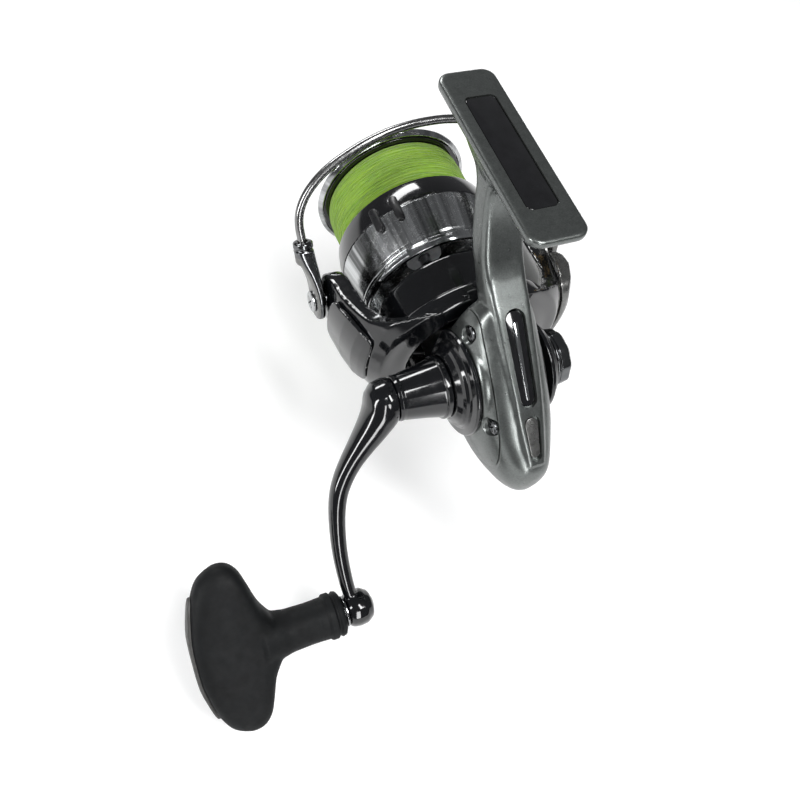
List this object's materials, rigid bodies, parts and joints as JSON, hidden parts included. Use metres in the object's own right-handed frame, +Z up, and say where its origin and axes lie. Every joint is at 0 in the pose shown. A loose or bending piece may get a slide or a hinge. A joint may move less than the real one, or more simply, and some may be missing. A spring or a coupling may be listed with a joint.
{
  "type": "spinning fishing reel",
  "caption": "Spinning fishing reel with rod foot, geared rotor, flip bail with line roller, sliding line spool, drag knob and cranked T-bar handle.",
  "frame": {"origin": "on the flat top of the rod foot, on its centre line, 5 mm in from the foot's rear end", "axes": "+X forward along the main shaft towards the spool, +Y towards the handle side, +Z up towards the rod foot"},
  "size_m": [0.1457, 0.1418, 0.1228],
  "materials": {
    "silver_paint": "satin metallic silver-grey paint with a fine flake",
    "gloss_black": "deep gloss black lacquer",
    "smoke_grey": "smoke-grey satin metallic paint",
    "polished_steel": "machined and polished stainless steel",
    "gunmetal": "gunmetal chrome",
    "spool_alloy": "polished anodised alloy with a gloss black front band",
    "brass": "machined brass",
    "zinc": "die-cast zinc, lightly tumbled",
    "black_rubber": "soft matte black grip rubber",
    "line_green": "braided lime-green line in even winds",
    "felt": "greased carbon-fibre felt",
    "clip_black": "moulded black plastic",
    "insert_black": "gloss black moulded insert",
    "end_plate_grey": "moulded mid-grey plastic"
  },
  "bodies": {
    "gearbox": {"body_frame": "silver_paint", "spine_insert": "insert_black", "tail_trim": "smoke_grey", "foot_label_plate": "insert_black", "side_cover": "silver_paint", "cover_screw_upper": "polished_steel", "cover_screw_rear": "polished_steel", "left_collar": "gloss_black", "right_collar": "gloss_black", "drive_bearing_right": "polished_steel", "drive_bearing_left": "polished_steel", "pinion_bearing": "polished_steel", "one_way_clutch": "zinc", "clutch_cover": "zinc", "guide_rod": "polished_steel"},
    "drive": {"drive_gear": "brass", "oscillation_pinion": "zinc", "handle_shank": "gloss_black", "handle_arm": "gloss_black", "handle_hole_cap": "gunmetal", "knob_shaft": "polished_steel", "knob_washer": "polished_steel", "knob_bearing_inner": "polished_steel", "knob_bearing_outer": "polished_steel"},
    "knob": {"handle_knob": "black_rubber", "knob_end_plate": "end_plate_grey"},
    "oscillator": {"oscillation_gear": "zinc"},
    "shaft": {"main_shaft": "polished_steel", "slider": "zinc", "spool_seat": "zinc"},
    "rotor": {"rotor": "gloss_black", "rotor_nut": "zinc", "pinion_gear": "brass", "clutch_sleeve": "polished_steel", "arm_cover_left": "gloss_black", "arm_cover_right": "smoke_grey", "bail_spring": "polished_steel", "bail_spring_rod": "polished_steel", "kick_lever": "zinc", "pivot_screw_left": "polished_steel", "pivot_screw_right": "polished_steel"},
    "bail": {"bail_wire": "gunmetal", "bail_holder": "gunmetal", "bail_arm": "smoke_grey", "roller_screw": "polished_steel", "roller_bearing": "polished_steel"},
    "roller": {"line_roller": "brass"},
    "spool": {"spool": "spool_alloy", "spool_lip_ring": "spool_alloy", "skirt_ring": "spool_alloy", "fishing_line": "line_green", "line_clip_a": "clip_black", "line_clip_b": "clip_black", "drag_washer_rear": "felt", "drag_washer_metal": "polished_steel", "drag_washer_front": "felt", "drag_retainer": "polished_steel"},
    "drag": {"drag_knob": "gloss_black"}
  },
  "joints": [
    {"name": "handle_spin", "type": "hinge", "parent": "gearbox", "child": "drive", "pos_m": [-0.0025, 0, -0.06], "axis": [0, 1, 0], "continuous": true},
    {"name": "knob_spin", "type": "hinge", "parent": "drive", "child": "knob", "pos_m": [-0.04319, 0.075, -0.10409], "axis": [0, 1, 0], "continuous": true},
    {"name": "oscillator_spin", "type": "hinge", "parent": "gearbox", "child": "oscillator", "pos_m": [-0.016, 0.006, -0.07], "axis": [0, 1, 0], "continuous": true},
    {"name": "rotor_spin", "type": "hinge", "parent": "gearbox", "child": "rotor", "pos_m": [-0.0025, 0, -0.067], "axis": [1, 0, 0], "continuous": true},
    {"name": "spool_slide", "type": "slide", "parent": "gearbox", "child": "shaft", "axis": [1, 0, 0], "range_m": [-0.013, 0]},
    {"name": "spool_drag", "type": "hinge", "parent": "shaft", "child": "spool", "pos_m": [0.0575, 0, -0.067], "axis": [1, 0, 0], "continuous": true},
    {"name": "drag_knob_turn", "type": "hinge", "parent": "shaft", "child": "drag", "pos_m": [0.0755, 0, -0.067], "axis": [1, 0, 0], "continuous": true},
    {"name": "bail_flip", "type": "hinge", "parent": "rotor", "child": "bail", "pos_m": [0.0395, 0, -0.067], "axis": [0, 1, 0], "range_deg": [0, 110]},
    {"name": "roller_spin", "type": "hinge", "parent": "bail", "child": "roller", "pos_m": [0.0395, -0.0362, -0.047], "axis": [0, 1, 0], "continuous": true}
  ],
  "couplings": [
    {"joint": "rotor_spin", "follows": "handle_spin", "ratio": 5.2},
    {"joint": "oscillator_spin", "follows": "handle_spin", "ratio": -1}
  ]
}
